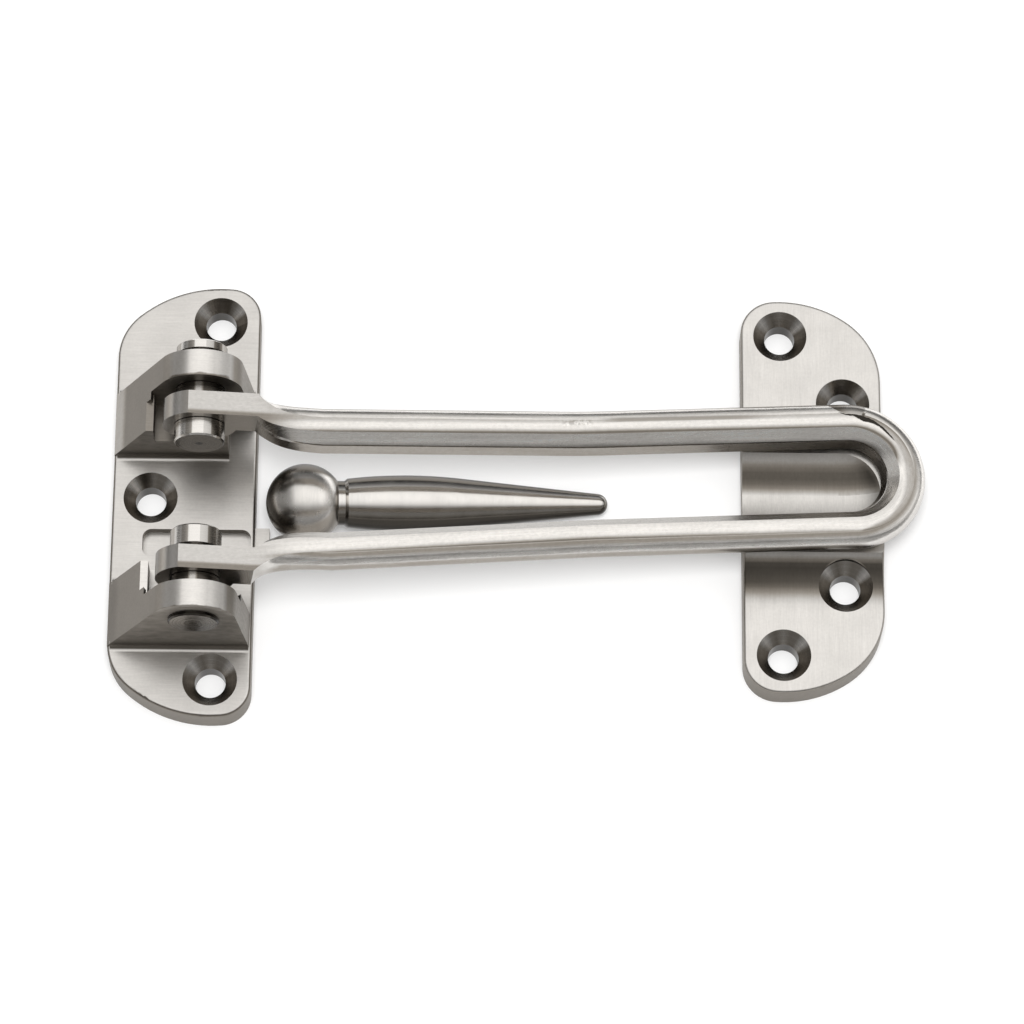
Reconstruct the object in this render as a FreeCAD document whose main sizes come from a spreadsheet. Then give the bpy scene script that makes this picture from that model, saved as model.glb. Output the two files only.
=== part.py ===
"""Swing bar door guard in satin stainless steel, lying with its bar closed over the keeper plate.

The frame is millimetres, +Z up from the backs of both plates. The origin is the middle of the frame
plate's back, +X runs along the bar to the keeper plate, and the two hinge pins lie along Y.
"""

import FreeCAD, Part
import math
import os

import Sketcher

Vector = FreeCAD.Vector

# Driving dimensions: alias, value in millimetres or degrees, what it is
SIZES = [
    ("plate_thick", 5.0, "thickness of both plates"),
    ("edge_round", 0.5, "round along the plates' upper edges"),
    ("edge_bevel", 0.25, "small bevel along the edges of pins and nuts"),
    ("screw_hole", 5.1, "diameter of the screw holes"),
    ("screw_sink", 9.0, "diameter of the countersinks at the upper face"),
    ("frame_wide", 23.8, "frame plate, along X"),
    ("frame_long", 76.4, "frame plate, along Y"),
    ("frame_side_round", 10.0, "large corners of the frame plate, at its side"),
    ("frame_end_round", 21.0, "large corners of the frame plate, at its ends"),
    ("frame_end_middle", 5.3, "middle of the ends' rounds, from the plate's middle"),
    ("frame_small_corner", 5.2, "small corners of the frame plate"),
    ("end_hole_x", 5.2, "end screw holes, from the plate's middle"),
    ("end_hole_in", 6.35, "end screw holes, in from the plate's ends"),
    ("mid_hole_x", 5.6, "middle screw hole, from the plate's middle"),
    ("lug_mid_y", 3.9, "middle of the two lugs, below the plate's middle"),
    ("lug_inner", 11.4, "inner faces of the lugs, from the lugs' middle"),
    ("ear_inner", 17.8, "inner faces of the ears at the pins, from the lugs' middle"),
    ("ear_step", 1.3, "how much thicker the ears are away from the pins"),
    ("ear_room", 8.3, "radius of the ears' thinner round about the pins"),
    ("ear_thick", 4.5, "thickness of the ears at the pins"),
    ("ear_round", 6.9, "radius of the ears about the pins"),
    ("ear_foot_in", 0.4, "front foot of the ears, in from the plate's side"),
    ("eye_place", 13.45, "middles of the bar's eyes, from the lugs' middle"),
    ("stop_high", 11.15, "stop walls behind the eyes, above the plate"),
    ("stop_back", 7.8, "face of the stop walls, from the pins"),
    ("sill_high", 6.6, "sills under the eyes, above the plate"),
    ("sill_reach", 4.3, "end of the sills, from the pins"),
    ("foot_round", 1.0, "fillet at the feet of the lugs"),
    ("pin_x", 3.0, "pin axis, from the plate's middle"),
    ("pin_high", 13.5, "pin axis, above the plate's upper face"),
    ("pin_dia", 5.0, "diameter of the pins' shanks"),
    ("pin_head_dia", 8.4, "diameter of the pins' heads"),
    ("upper_head_thick", 1.5, "thickness of the upper pin's head"),
    ("upper_head_gap", 1.55, "gap under the upper pin's head"),
    ("lower_head_thick", 3.2, "thickness of the lower pin's head"),
    ("lower_head_gap", 1.1, "gap under the lower pin's head"),
    ("seat_play", 0.02, "clearance of the pins in the ears and nuts, on the radius"),
    ("turn_play", 0.06, "clearance of the eyes and spacers on the pins, on the radius"),
    ("side_play", 0.1, "clearance between faces that turn past each other"),
    ("nut_dia", 8.3, "diameter of the round nuts"),
    ("nut_long", 3.0, "length of the round nuts"),
    ("nut_proud", 0.7, "how far the lower nut stands out of its ear"),
    ("spacer_dia", 8.2, "diameter of the spacers between ears and eyes"),
    ("slot_x", 2.3, "middle of the shallow slot, from the plate's middle"),
    ("slot_y", 8.0, "middle of the shallow slot, below the plate's middle"),
    ("slot_long", 18.0, "length of the shallow slot"),
    ("slot_wide", 4.9, "width of the shallow slot"),
    ("slot_round", 1.5, "corners of the shallow slot"),
    ("slot_deep", 1.6, "depth of the shallow slot"),
    ("tab_reach", 2.4, "tab beyond the plate's edge"),
    ("tab_wide", 5.0, "width of the tab"),
    ("tab_shift", 0.7, "tab's middle above the slot's middle"),
    ("tab_thick", 2.6, "thickness of the tab"),
    ("upper_eye_round", 6.1, "radius of the bar's upper eye"),
    ("lower_eye_round", 6.45, "radius of the bar's lower eye"),
    ("eye_flat", 5.65, "bar's flat top, above the pin axis"),
    ("eye_thick", 4.0, "thickness of the bar's eyes and of the blades beside them"),
    ("blade_high", 6.7, "height of the blades beside the eyes"),
    ("blade_long", 9.2, "end of the blades, from the pins"),
    ("bar_high", 4.4, "height of the bar's section"),
    ("top_wide", 2.5, "flat along the bar's top"),
    ("facet_wide", 1.6, "facet along the bar's inner side, across"),
    ("facet_high", 1.8, "facet along the bar's inner side, down"),
    ("groove_deep", 0.25, "groove below the facet, under the facet's edge"),
    ("groove_high", 0.3, "groove below the facet, down"),
    ("lip_out", 0.1, "upper edge of the lip below the groove, beyond the facet's edge"),
    ("lip_foot", 0.75, "lower edge of the lip, beyond the facet's edge"),
    ("lip_bevel", 0.5, "bevel under the lip"),
    ("bar_long", 121.0, "pins to the outside of the bend"),
    ("bar_slope_angle", 6.6, "slope of the closed bar, down towards the keeper"),
    ("bar_lean_angle", 4.75, "lean of the arms in plan"),
    ("lean_shift", 1.6, "arms' middle line at the pins, below the lugs' middle"),
    ("bend_round", 9.25, "radius of the bend along the middle of its flat top"),
    ("arm_start", 21.0, "start of the straight arms, from the pins"),
    ("arm_spread", 1.3, "how much further out each arm starts than the bend's radius"),
    ("waist_place", 64.0, "where the arms become parallel, from the pins"),
    ("waist_shift", 0.25, "how far the arms sag aside there"),
    ("waist_round", 150.0, "radius of the arms' slight bow"),
    ("keeper_back", 19.3, "keeper's middle, short of the outside of the bend"),
    ("keeper_y", 2.0, "keeper's middle, above the frame plate's middle"),
    ("keeper_wide", 23.4, "keeper plate, along X"),
    ("keeper_long", 70.0, "keeper plate, along Y"),
    ("keeper_side_round", 13.5, "large corners of the keeper, at its side"),
    ("keeper_end_round", 19.3, "large corners of the keeper, at its ends"),
    ("keeper_end_middle", 5.1, "middle of the ends' rounds, from the keeper's middle"),
    ("keeper_small_corner", 5.8, "small corners of the keeper"),
    ("outer_hole_x", 5.1, "outer screw holes, from the keeper's middle"),
    ("outer_hole_in", 6.5, "outer screw holes, in from the keeper's ends"),
    ("inner_hole_x", 5.3, "inner screw holes, from the keeper's middle"),
    ("inner_hole_y", 16.3, "inner screw holes, from the keeper's middle"),
    ("ridge_high", 1.4, "ridges under the bar, above the keeper's upper face"),
    ("ridge_start", 15.6, "where the slopes of the ridges start, from the middle"),
    ("ridge_top", 10.8, "where the ridges reach their height, from the middle"),
    ("channel_half", 6.8, "half the width of the channel between the ridges"),
    ("channel_deep", 2.0, "depth of the channel below the ridges"),
    ("channel_end", 11.2, "round end of the channel, from the keeper's middle"),
    ("ball_dia", 13.0, "diameter of the ball"),
    ("neck_dia", 7.4, "diameter of the neck behind the ball"),
    ("collar_dia", 8.2, "diameter of the shank at the neck"),
    ("belly_dia", 9.4, "largest diameter of the shank"),
    ("tip_dia", 3.6, "diameter of the shank at its tip"),
    ("neck_end_x", 6.5, "end of the neck, from the ball's middle"),
    ("collar_start", 7.0, "start of the shank, from the ball's middle"),
    ("belly_place", 17.0, "largest diameter, from the ball's middle"),
    ("stud_long", 50.6, "tip of the shank, from the ball's middle"),
    ("stud_out", 8.3, "ball's middle, beyond the frame plate's side"),
    ("stud_y", 1.2, "ball's middle, below the frame plate's middle"),
    ("stud_turn_angle", 2.3, "turn of the stud in plan"),
]

doc = FreeCAD.newDocument("door_guard")


def make_sheet():
    """The spreadsheet with one aliased cell for each driving dimension."""
    made = doc.addObject("Spreadsheet::Sheet", "Sizes")
    for row, (alias, value, meaning) in enumerate(SIZES, start=1):
        made.set("A%d" % row, meaning)
        made.set("B%d" % row, str(value))
        made.setAlias("B%d" % row, alias)
    doc.recompute()
    return made


sheet = make_sheet()


class Size:
    """A number that remembers the sheet formula it comes from, so that both stay in step."""

    def __init__(self, value, formula):
        self.value = float(value)
        self.formula = formula

    def __add__(self, other):
        other = as_size(other)
        return Size(self.value + other.value, "(%s + %s)" % (self.formula, other.formula))

    def __sub__(self, other):
        other = as_size(other)
        return Size(self.value - other.value, "(%s - %s)" % (self.formula, other.formula))

    def __mul__(self, other):
        other = as_size(other)
        return Size(self.value * other.value, "(%s * %s)" % (self.formula, other.formula))

    def __truediv__(self, other):
        other = as_size(other)
        return Size(self.value / other.value, "(%s / %s)" % (self.formula, other.formula))

    def __neg__(self):
        return Size(-self.value, "(0 - %s)" % self.formula)


def as_size(number):
    """A plain number as a Size."""
    return number if isinstance(number, Size) else Size(number, repr(float(number)))


def square_leg(long, leg):
    """The other leg of a right-angled triangle with this long side."""
    return Size(math.sqrt(long.value ** 2 - leg.value ** 2),
                "sqrt(pow(%s; 2) - pow(%s; 2))" % (long.formula, leg.formula))


def size(alias):
    """The driving dimension with this alias."""
    return Size(sheet.get(alias), "Sizes." + alias)


def new_body(label):
    """An empty body whose label is the sub-part's name."""
    body = doc.addObject("PartDesign::Body", label)
    body.Label = label
    return body


def origin_plane(body, plane):
    """One of the body's own origin planes."""
    return [item for item in body.Origin.OriginFeatures if item.Role == plane][0]


def new_sketch(body, plane, name, away=0.0):
    """A sketch on one of the body's origin planes, moved along that plane's normal."""
    sketch = body.newObject("Sketcher::SketchObject", name)
    sketch.AttachmentSupport = [(origin_plane(body, plane), "")]
    sketch.MapMode = "FlatFace"
    away = as_size(away)
    sketch.AttachmentOffset = FreeCAD.Placement(Vector(0, 0, away.value), FreeCAD.Rotation())
    sketch.setExpression("AttachmentOffset.Base.z", away.formula)
    return sketch


def hold_distance(sketch, kind, shape, place, distance):
    """Holds one point of a sketch level or upright from the sketch's origin."""
    index = sketch.addConstraint(Sketcher.Constraint(kind, -1, 1, shape, place, distance.value))
    sketch.setExpression("Constraints[%d]" % index, distance.formula)


def pin_point(sketch, shape, place, x, y):
    """Holds one point of a sketch at x, y from the sketch's origin."""
    hold_distance(sketch, "DistanceX", shape, place, as_size(x))
    hold_distance(sketch, "DistanceY", shape, place, as_size(y))


def hold_radius(sketch, shape, radius):
    """Gives a circle or an arc of a sketch its radius."""
    radius = as_size(radius)
    index = sketch.addConstraint(Sketcher.Constraint("Radius", shape, radius.value))
    sketch.setExpression("Constraints[%d]" % index, radius.formula)


def add_circle(sketch, x, y, radius):
    """A circle held at its middle."""
    x, y, radius = as_size(x), as_size(y), as_size(radius)
    circle = Part.Circle(Vector(x.value, y.value, 0), Vector(0, 0, 1), radius.value)
    shape = sketch.addGeometry(circle, False)
    pin_point(sketch, shape, 3, x, y)
    hold_radius(sketch, shape, radius)


class Arc:
    """The stretch of an outline from one corner to the next, round a middle point."""

    def __init__(self, x, y, radius, turn=1):
        self.x = as_size(x)
        self.y = as_size(y)
        self.radius = as_size(radius)
        self.turn = turn


def draw_arc(sketch, start, end, middle, turn):
    """Draws the arc from one point to another round a middle point; the ends it then has."""
    first, last = (start, end) if turn > 0 else (end, start)
    angles = [math.atan2(point.y - middle.y, point.x - middle.x) for point in (first, last)]
    if angles[1] <= angles[0]:
        angles[1] += 2 * math.pi
    circle = Part.Circle(middle, Vector(0, 0, 1), (start - middle).Length)
    shape = sketch.addGeometry(Part.ArcOfCircle(circle, angles[0], angles[1]), False)
    return (shape, 1, 2) if turn > 0 else (shape, 2, 1)


def add_outline(sketch, steps):
    """A closed outline. Each step is a corner (x, y, Arc or None); a corner whose x is a plain number
    is a tangent point, which the neighbouring line and arc settle."""
    shapes = []
    count = len(steps)
    for index, (x, y, arc) in enumerate(steps):
        next_x, next_y, _ = steps[(index + 1) % count]
        start = Vector(as_size(x).value, as_size(y).value, 0)
        end = Vector(as_size(next_x).value, as_size(next_y).value, 0)
        if arc is None:
            shape = sketch.addGeometry(Part.LineSegment(start, end), False)
            shapes.append((shape, 1, 2))
            continue
        middle = Vector(arc.x.value, arc.y.value, 0)
        shapes.append(draw_arc(sketch, start, end, middle, arc.turn))
    for index, (x, y, arc) in enumerate(steps):
        shape, start, _ = shapes[index]
        before, _, end = shapes[index - 1]
        if isinstance(x, Size) or isinstance(y, Size):
            sketch.addConstraint(Sketcher.Constraint("Coincident", before, end, shape, start))
            pin_point(sketch, shape, start, x, y)
        else:
            sketch.addConstraint(Sketcher.Constraint("Tangent", before, end, shape, start))
        if arc is None:
            continue
        next_x, next_y, _ = steps[(index + 1) % count]
        if isinstance(x, Size) and isinstance(next_x, Size):
            level = abs(next_x.value - x.value) > abs(next_y.value - y.value)
            kind, distance = ("DistanceY", arc.y) if level else ("DistanceX", arc.x)
            hold_distance(sketch, kind, shape, 3, distance)
        elif isinstance(x, Size) or isinstance(next_x, Size):
            hold_distance(sketch, "DistanceX", shape, 3, arc.x)
            hold_radius(sketch, shape, arc.radius)
        else:
            pin_point(sketch, shape, 3, arc.x, arc.y)
            hold_radius(sketch, shape, arc.radius)


def pad(body, sketch, length, reverse=False, name="pad"):
    """Adds the sketch's area, drawn out along its normal."""
    made = body.newObject("PartDesign::Pad", name)
    made.Profile = sketch
    length = as_size(length)
    made.Length = length.value
    made.setExpression("Length", length.formula)
    made.Reversed = reverse
    doc.recompute()
    return made


def pocket(body, sketch, length, reverse=False, name="pocket"):
    """Takes the sketch's area away, drawn out against its normal unless reversed."""
    made = body.newObject("PartDesign::Pocket", name)
    made.Profile = sketch
    length = as_size(length)
    made.Length = length.value
    made.setExpression("Length", length.formula)
    made.Reversed = reverse
    doc.recompute()
    return made


def edges_of(feature, wanted):
    """Names of the feature's edges that the test picks by their box and shape."""
    names = []
    for index, edge in enumerate(feature.Shape.Edges, start=1):
        if wanted(edge, edge.BoundBox):
            names.append("Edge%d" % index)
    return names


def round_edges(body, feature, wanted, radius, name="round"):
    """Rounds the edges that the test picks."""
    names = edges_of(feature, wanted)
    made = body.newObject("PartDesign::Fillet", name)
    made.Base = (feature, names)
    radius = as_size(radius)
    made.Radius = radius.value
    made.setExpression("Radius", radius.formula)
    doc.recompute()
    return made


def near(a, b, slack=0.01):
    """Whether two lengths are the same."""
    return abs(a - b) < slack


def tangent_from(point, middle, radius, side):
    """Where the line from a point touches a circle, on its left (1) or its right (-1)."""
    away = point - middle
    turn = math.acos(radius / away.Length)
    angle = math.atan2(away.y, away.x) + side * turn
    return middle + Vector(math.cos(angle), math.sin(angle), 0) * radius


def plate_outline(sketch, plate, toward):
    """A D-shaped plate. Its side towards +X (1) or -X (-1) has large corners, each made of a side's
    round that runs on into an end's wider round; the other side has small corners."""
    half_wide, half_long = size(plate + "_wide") / 2, size(plate + "_long") / 2
    side_round, end_round = size(plate + "_side_round"), size(plate + "_end_round")
    small = size(plate + "_small_corner")
    end_x, end_y = -size(plate + "_end_middle"), half_long - end_round
    side_x = half_wide - side_round
    side_y = end_y + square_leg(end_round - side_round, side_x - end_x)
    small_x = small - half_wide
    small_y = end_y + square_leg(end_round - small, small_x - end_x)
    side_share = end_round / (end_round - side_round)
    small_share = end_round / (end_round - small)
    side_join = (end_x + (side_x - end_x) * side_share, end_y + (side_y - end_y) * side_share)
    small_join = (end_x + (small_x - end_x) * small_share, end_y + (small_y - end_y) * small_share)

    def at(x, y, arc=None):
        return x * toward, y, arc

    add_outline(sketch, [
        at(half_wide, -side_y),
        at(half_wide, side_y, Arc(side_x * toward, side_y, side_round, toward)),
        at(*side_join, Arc(end_x * toward, end_y, end_round, toward)),
        at(*small_join, Arc(small_x * toward, small_y, small, toward)),
        at(-half_wide, small_y),
        at(-half_wide, -small_y, Arc(small_x * toward, -small_y, small, toward)),
        at(small_join[0], -small_join[1], Arc(end_x * toward, -end_y, end_round, toward)),
        at(side_join[0], -side_join[1], Arc(side_x * toward, -side_y, side_round, toward)),
    ])


def screw_holes(body, places, top, cover=0.0):
    """Countersunk through holes, cut from the plate's upper face and from what stands above it."""
    sink_depth = (size("screw_sink") - size("screw_hole")) / 2
    through = new_sketch(body, "XY_Plane", "screw_holes", top)
    for x, y in places:
        add_circle(through, x, y, size("screw_hole") / 2)
    pocket(body, through, top, name="holes")
    if as_size(cover).value > 0:
        rooms = new_sketch(body, "XY_Plane", "countersink_rooms", top)
        for x, y in places:
            add_circle(rooms, x, y, size("screw_sink") / 2)
        pocket(body, rooms, cover, reverse=True, name="rooms")
    for x, y in places:
        sink = body.newObject("PartDesign::SubtractiveCone", "countersink")
        x, y = as_size(x), as_size(y)
        for name, value in (("Radius1", size("screw_hole") / 2), ("Radius2", size("screw_sink") / 2),
                            ("Height", sink_depth)):
            setattr(sink, name, value.value)
            sink.setExpression(name, value.formula)
        sink.AttachmentSupport = [(origin_plane(body, "XY_Plane"), "")]
        sink.MapMode = "FlatFace"
        place = Vector(x.value, y.value, (top - sink_depth).value)
        sink.AttachmentOffset = FreeCAD.Placement(place, FreeCAD.Rotation())
        for axis, value in (("x", x), ("y", y), ("z", top - sink_depth)):
            sink.setExpression("AttachmentOffset.Base." + axis, value.formula)
        doc.recompute()
    return body.Tip


thick = size("plate_thick")
pin_z = thick + size("pin_high")
lug_mid = -size("lug_mid_y")
half_frame = size("frame_wide") / 2
ear_outer = size("ear_inner") + size("ear_thick")
lug_deep = ear_outer - size("lug_inner")
eye_outer = size("eye_place") + size("eye_thick") / 2
eye_inner = size("eye_place") - size("eye_thick") / 2
rooted = thick / 2
clear_above = size("ear_round") * 2 + size("pin_high")


def side_sketch(body, name, front):
    """A sketch in the XZ plane at Y = front, whose features are drawn out towards -Y."""
    return new_sketch(body, "XZ_Plane", name, -as_size(front))


def ear_outline(sketch):
    """A lug from the side: a long slope behind, a round about the pin and a steep straight front."""
    front_x = half_frame - size("ear_foot_in")
    middle = Vector(size("pin_x").value, pin_z.value, 0)
    radius = size("ear_round")
    front_touch = tangent_from(Vector(front_x.value, thick.value, 0), middle, radius.value, 1)
    back_touch = tangent_from(Vector(-half_frame.value, thick.value, 0), middle, radius.value, -1)
    add_outline(sketch, [
        (front_x, rooted, None),
        (front_x, thick, None),
        (front_touch.x, front_touch.y, Arc(size("pin_x"), pin_z, radius)),
        (back_touch.x, back_touch.y, None),
        (-half_frame, thick, None),
        (-half_frame, rooted, None),
    ])


def add_lug(body, upper):
    """One hinge lug: an ear with a round thinner middle, and inside it a stop wall and a low sill."""
    outer_face = lug_mid + ear_outer if upper else lug_mid - size("lug_inner")
    block = side_sketch(body, "lug_side", outer_face)
    ear_outline(block)
    pad(body, block, lug_deep, name="lug")
    wall_x = size("pin_x") - size("stop_back")
    sill_x = size("pin_x") + size("sill_reach")
    wall_z, sill_z = thick + size("stop_high"), thick + size("sill_high")
    beyond = half_frame + thick
    stepped = size("ear_inner") - size("ear_step")
    relief = side_sketch(body, "lug_relief_side", lug_mid + stepped if upper else outer_face)
    add_outline(relief, [
        (-beyond, wall_z, None),
        (wall_x, wall_z, None),
        (wall_x, sill_z, None),
        (sill_x, sill_z, None),
        (sill_x, thick, None),
        (beyond, thick, None),
        (beyond, clear_above, None),
        (-beyond, clear_above, None),
    ])
    pocket(body, relief, stepped - size("lug_inner"), reverse=True, name="lug_relief")
    room = size("ear_room")
    round_room = side_sketch(body, "ear_room_side",
                             lug_mid + size("ear_inner") if upper else lug_mid - stepped)
    wall_end = size("pin_x") - square_leg(room, pin_z - wall_z)
    sill_end = size("pin_x") + square_leg(room, pin_z - sill_z)
    add_outline(round_room, [
        (wall_end, wall_z, None),
        (wall_x, wall_z, None),
        (wall_x, sill_z, None),
        (sill_end, sill_z, Arc(size("pin_x"), pin_z, room)),
    ])
    pocket(body, round_room, size("ear_step"), reverse=True, name="ear_room")


def add_cove(body, face_y, side, start, end):
    """A small fillet strip along X at the foot of a lug's face, on its +Y side (1) or -Y side (-1)."""
    radius = size("foot_round")
    cove = new_sketch(body, "YZ_Plane", "cove_section", start)
    toward = as_size(side)
    inside = face_y - toward * radius / 2
    edge = face_y + toward * radius
    add_outline(cove, [
        (inside, rooted, None),
        (edge, rooted, None),
        (edge, thick, Arc(edge, thick + radius, radius, turn=-side)),
        (face_y, thick + radius, None),
        (inside, thick + radius, None),
    ])
    pad(body, cove, end - start, name="cove")


def frame_plate():
    """The plate on the door frame, in one piece with its two hinge lugs."""
    body = new_body("frame_plate")
    outline = new_sketch(body, "XY_Plane", "frame_outline")
    plate_outline(outline, "frame", toward=-1)
    plate = pad(body, outline, thick, name="plate")
    round_edges(body, plate, lambda edge, box: near(box.ZMin, thick.value) and near(box.ZMax, thick.value),
                size("edge_round"), name="plate_rounds")
    for upper in (True, False):
        add_lug(body, upper)
    sill_x = size("pin_x") + size("sill_reach")
    inset = size("edge_round") - half_frame
    add_cove(body, lug_mid + ear_outer, 1, inset, half_frame - size("edge_round"))
    add_cove(body, lug_mid - ear_outer, -1, inset, half_frame - size("edge_round"))
    add_cove(body, lug_mid + size("lug_inner"), -1, inset, sill_x)
    add_cove(body, lug_mid - size("lug_inner"), 1, inset, sill_x)
    bores = side_sketch(body, "pin_bores", lug_mid + ear_outer)
    add_circle(bores, size("pin_x"), pin_z, size("pin_dia") / 2 + size("seat_play"))
    pocket(body, bores, ear_outer * 2, reverse=True, name="bores")
    nut_seat = side_sketch(body, "nut_seat_round", lug_mid - ear_outer + size("nut_long") - size("nut_proud"))
    add_circle(nut_seat, size("pin_x"), pin_z, size("nut_dia") / 2 + size("seat_play"))
    pocket(body, nut_seat, size("nut_long"), reverse=True, name="nut_seat")
    slot = new_sketch(body, "XY_Plane", "slot_outline", thick)
    slot_y = -size("slot_y")
    corner = size("slot_round")
    half_slot, reach = size("slot_wide") / 2, size("slot_long") / 2
    left, right = size("slot_x") - reach, size("slot_x") + reach
    low, high = slot_y - half_slot, slot_y + half_slot
    add_outline(slot, [
        (left + corner, low, None),
        (right - corner, low, Arc(right - corner, low + corner, corner)),
        (right, low + corner, None),
        (right, high - corner, Arc(right - corner, high - corner, corner)),
        (right - corner, high, None),
        (left + corner, high, Arc(left + corner, high - corner, corner)),
        (left, high - corner, None),
        (left, low + corner, Arc(left + corner, low + corner, corner)),
    ])
    pocket(body, slot, size("slot_deep"), name="slot")
    tab = new_sketch(body, "XY_Plane", "tab_outline", (thick - size("tab_thick")) / 2)
    tab_root, tab_end = half_frame - size("edge_round") * 2, half_frame + size("tab_reach")
    tab_y = slot_y + size("tab_shift")
    tab_half = size("tab_wide") / 2
    add_outline(tab, [
        (tab_root, tab_y - tab_half, None),
        (tab_end, tab_y - tab_half, None),
        (tab_end, tab_y + tab_half, None),
        (tab_root, tab_y + tab_half, None),
    ])
    pad(body, tab, size("tab_thick"), name="tab")
    end_y = size("frame_long") / 2 - size("end_hole_in")
    screw_holes(body, [
        (size("end_hole_x"), end_y),
        (-size("mid_hole_x"), 0.0),
        (size("end_hole_x"), -end_y),
    ], thick)
    return body


def keeper_plate():
    """The plate on the door: two low ridges under the closed bar, with a hollow channel between."""
    body = new_body("keeper_plate")
    ridge_z = thick + size("ridge_high")
    outline = new_sketch(body, "XY_Plane", "keeper_outline")
    plate_outline(outline, "keeper", toward=1)
    pad(body, outline, ridge_z, name="plate")
    half_wide, half_long = size("keeper_wide") / 2, size("keeper_long") / 2
    flats = new_sketch(body, "YZ_Plane", "flats_section", -half_wide)
    run = size("ridge_start") - size("ridge_top")
    slope_round = (run * run / size("ridge_high") + size("ridge_high")) / 2
    for side in (1, -1):
        foot, crest = size("ridge_start") * side, size("ridge_top") * side
        far = (half_long + thick) * side
        add_outline(flats, [
            (crest, ridge_z, Arc(foot, thick + slope_round, slope_round, side)),
            (foot, thick, None),
            (far, thick, None),
            (far, ridge_z + thick, None),
            (crest, ridge_z + thick, None),
        ])
    pocket(body, flats, half_wide * 2, reverse=True, name="flats")
    radius = (size("channel_half") * size("channel_half") / size("channel_deep") + size("channel_deep")) / 2
    channel_z = ridge_z - size("channel_deep") + radius
    end_x = size("channel_end") - size("channel_half")
    channel = new_sketch(body, "XZ_Plane", "channel_section")
    start_x = -half_wide - thick
    add_outline(channel, [
        (start_x, channel_z - radius, None),
        (end_x, channel_z - radius, Arc(end_x, channel_z, radius)),
        (end_x + radius, channel_z, None),
        (start_x, channel_z, None),
    ])
    groove = body.newObject("PartDesign::Groove", "channel")
    groove.Profile = channel
    axis_line = [index for index, shape in enumerate(channel.Geometry)
                 if isinstance(shape, Part.LineSegment) and near(shape.StartPoint.y, channel_z.value)
                 and near(shape.EndPoint.y, channel_z.value)][0]
    doc.recompute()
    groove.ReferenceAxis = (channel, ["Edge%d" % (axis_line + 1)])
    groove.Angle = 360
    doc.recompute()

    def upper_rim(edge, box):
        """Whether an edge runs round the plate's upper face, and not along the foot of a ridge."""
        level = near(box.ZMin, thick.value) and near(box.ZMax, thick.value)
        foot = near(box.YMin, box.YMax) and near(abs(box.YMin), size("ridge_start").value)
        return level and not foot

    round_edges(body, groove, upper_rim, size("edge_round"), name="plate_rounds")
    outer_y = half_long - size("outer_hole_in")
    screw_holes(body, [
        (-size("outer_hole_x"), outer_y),
        (size("inner_hole_x"), size("inner_hole_y")),
        (size("inner_hole_x"), -size("inner_hole_y")),
        (-size("outer_hole_x"), -outer_y),
    ], thick, cover=size("ridge_high"))
    keeper_x = size("pin_x") + size("bar_long") - size("keeper_back")
    body.Placement = FreeCAD.Placement(Vector(keeper_x.value, size("keeper_y").value, 0),
                                       FreeCAD.Rotation())
    return body


def arm_path():
    """Corners of the middle of the bar's flat top in plan, from each arm's start to the bend."""
    lean = math.radians(size("bar_lean_angle").value)
    along = Vector(math.cos(lean), math.sin(lean), 0)
    across = Vector(-along.y, along.x, 0)
    start = Vector(0, -size("lean_shift").value, 0)
    bend_radius = size("bend_round").value
    outside = (size("top_wide") / 2 + size("bar_high") / 2).value
    bend_middle = start + along * (size("bar_long").value - bend_radius - outside)
    waist_shift = size("waist_shift").value
    arms = []
    for side in (1, -1):
        arm_start = start + along * size("arm_start").value
        arm_start += across * (side * (bend_radius + size("arm_spread").value))
        waist = start + along * size("waist_place").value + across * (side * bend_radius - waist_shift)
        arms.append((arm_start, waist, tangent_from(waist, bend_middle, bend_radius, -side)))
    return arms, bend_middle


def rounded_corner(before, corner, after, radius):
    """The two ends and the middle of the arc that rounds a corner, and its turn."""
    back = (before - corner).normalize()
    ahead = (after - corner).normalize()
    half = math.acos(max(-1.0, min(1.0, back.dot(ahead)))) / 2
    reach = radius / math.tan(half)
    middle = corner + (back + ahead).normalize() * (radius / math.sin(half))
    turn = 1 if (-back).cross(ahead).z > 0 else -1
    return corner + back * reach, corner + ahead * reach, middle, turn


def draw_path(sketch):
    """Draws the middle of the bar's top as straight runs joined by tangent arcs."""
    (upper, lower), bend_middle = arm_path()
    waist_radius = size("waist_round").value
    up = rounded_corner(*upper, waist_radius)
    low = rounded_corner(lower[2], lower[1], lower[0], waist_radius)
    pieces = [
        (upper[0], up[0], None, 0), (up[0], up[1], up[2], up[3]), (up[1], upper[2], None, 0),
        (upper[2], lower[2], bend_middle, -1),
        (lower[2], low[0], None, 0), (low[0], low[1], low[2], low[3]), (low[1], lower[0], None, 0),
    ]
    for start, end, middle, turn in pieces:
        if middle is None:
            sketch.addGeometry(Part.LineSegment(start, end), False)
        else:
            draw_arc(sketch, start, end, middle, turn)


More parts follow.
